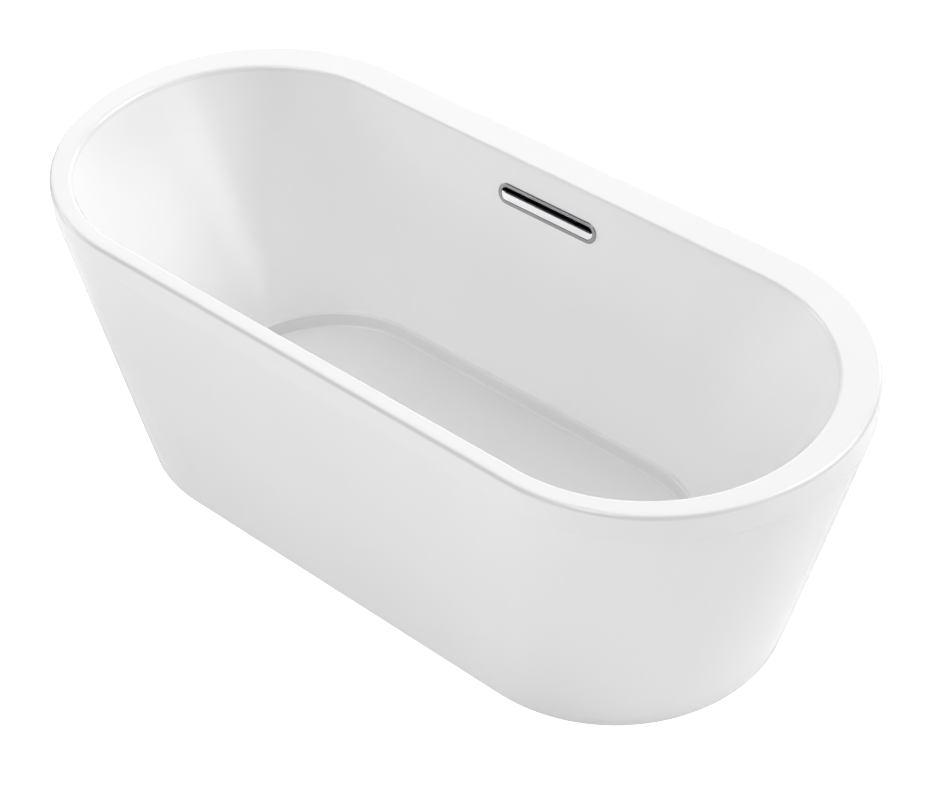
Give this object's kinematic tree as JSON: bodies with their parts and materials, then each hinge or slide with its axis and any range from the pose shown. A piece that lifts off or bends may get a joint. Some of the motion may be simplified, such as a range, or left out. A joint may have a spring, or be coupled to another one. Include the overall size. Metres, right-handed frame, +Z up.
{
  "type": "freestanding bathtub",
  "caption": "Oval double-skinned acrylic bath with a flat rim, tapered skirt, chrome slot overflow, press-to-open waste and a steel frame on screw feet.",
  "frame": {"origin": "on the floor, under the centre of the rim's outline", "axes": "+X along the bath's length, +Y towards the wide side of the rim, where the overflow is, +Z up"},
  "size_m": [1.7, 0.745, 0.6],
  "materials": {
    "acrylic": "gloss white cast acrylic",
    "glass_fibre": "rough sprayed glass fibre",
    "board": "moisture-resistant chipboard",
    "timber": "sawn softwood",
    "zinc_steel": "zinc plated",
    "chrome": "polished chrome plate",
    "brass": "turned brass",
    "pipe_plastic": "moulded white polypropylene",
    "black_plastic": "moulded black nylon",
    "rubber": "black EPDM"
  },
  "bodies": {
    "bath": {"base_board": "board", "basin_backing": "glass_fibre", "basin_shell": "acrylic", "body_gasket": "rubber", "drain_body": "brass", "drain_flange": "chrome", "flange_gasket": "rubber", "foot_nut_1": "zinc_steel", "foot_nut_2": "zinc_steel", "foot_nut_3": "zinc_steel", "foot_nut_4": "zinc_steel", "foot_nut_5": "zinc_steel", "foot_nut_6": "zinc_steel", "frame_cross_rail_1": "zinc_steel", "frame_cross_rail_2": "zinc_steel", "frame_cross_rail_3": "zinc_steel", "frame_cross_rail_4": "zinc_steel", "frame_rail_back": "zinc_steel", "frame_rail_front": "zinc_steel", "outer_skirt": "acrylic", "overflow_bezel": "chrome", "overflow_chamber": "pipe_plastic", "overflow_gasket": "rubber", "overflow_nut_lower": "pipe_plastic", "overflow_nut_upper": "pipe_plastic", "overflow_pipe": "pipe_plastic", "overflow_plate": "chrome", "overflow_screw_left": "zinc_steel", "overflow_screw_right": "zinc_steel", "rail_cap_back_left": "black_plastic", "rail_cap_back_right": "black_plastic", "rail_cap_front_left": "black_plastic", "rail_cap_front_right": "black_plastic", "rim_batten": "timber", "skirt_bracket_1": "zinc_steel", "skirt_bracket_2": "zinc_steel", "skirt_bracket_3": "zinc_steel", "skirt_bracket_4": "zinc_steel", "stopper_barrel": "brass", "stopper_spring": "zinc_steel", "tail_pipe": "pipe_plastic", "tee_nut": "pipe_plastic", "waste_tee": "pipe_plastic"},
    "stopper": {"stopper_cap": "chrome", "stopper_seal": "rubber", "stopper_plunger": "brass"},
    "foot_1": {"foot_pad_1": "black_plastic", "foot_stud_1": "zinc_steel"},
    "foot_2": {"foot_pad_2": "black_plastic", "foot_stud_2": "zinc_steel"},
    "foot_3": {"foot_pad_3": "black_plastic", "foot_stud_3": "zinc_steel"},
    "foot_4": {"foot_pad_4": "black_plastic", "foot_stud_4": "zinc_steel"},
    "foot_5": {"foot_pad_5": "black_plastic", "foot_stud_5": "zinc_steel"},
    "foot_6": {"foot_pad_6": "black_plastic", "foot_stud_6": "zinc_steel"}
  },
  "joints": [
    {"name": "stopper_lift", "type": "slide", "parent": "bath", "child": "stopper", "axis": [0, 0, 1], "range_m": [0, 0.009], "deforming": ["stopper_spring"]},
    {"name": "foot_1_height", "type": "slide", "parent": "bath", "child": "foot_1", "axis": [0, 0, 1], "range_m": [-0.01, 0.01]},
    {"name": "foot_2_height", "type": "slide", "parent": "bath", "child": "foot_2", "axis": [0, 0, 1], "range_m": [-0.01, 0.01]},
    {"name": "foot_3_height", "type": "slide", "parent": "bath", "child": "foot_3", "axis": [0, 0, 1], "range_m": [-0.01, 0.01]},
    {"name": "foot_4_height", "type": "slide", "parent": "bath", "child": "foot_4", "axis": [0, 0, 1], "range_m": [-0.01, 0.01]},
    {"name": "foot_5_height", "type": "slide", "parent": "bath", "child": "foot_5", "axis": [0, 0, 1], "range_m": [-0.01, 0.01]},
    {"name": "foot_6_height", "type": "slide", "parent": "bath", "child": "foot_6", "axis": [0, 0, 1], "range_m": [-0.01, 0.01]}
  ]
}
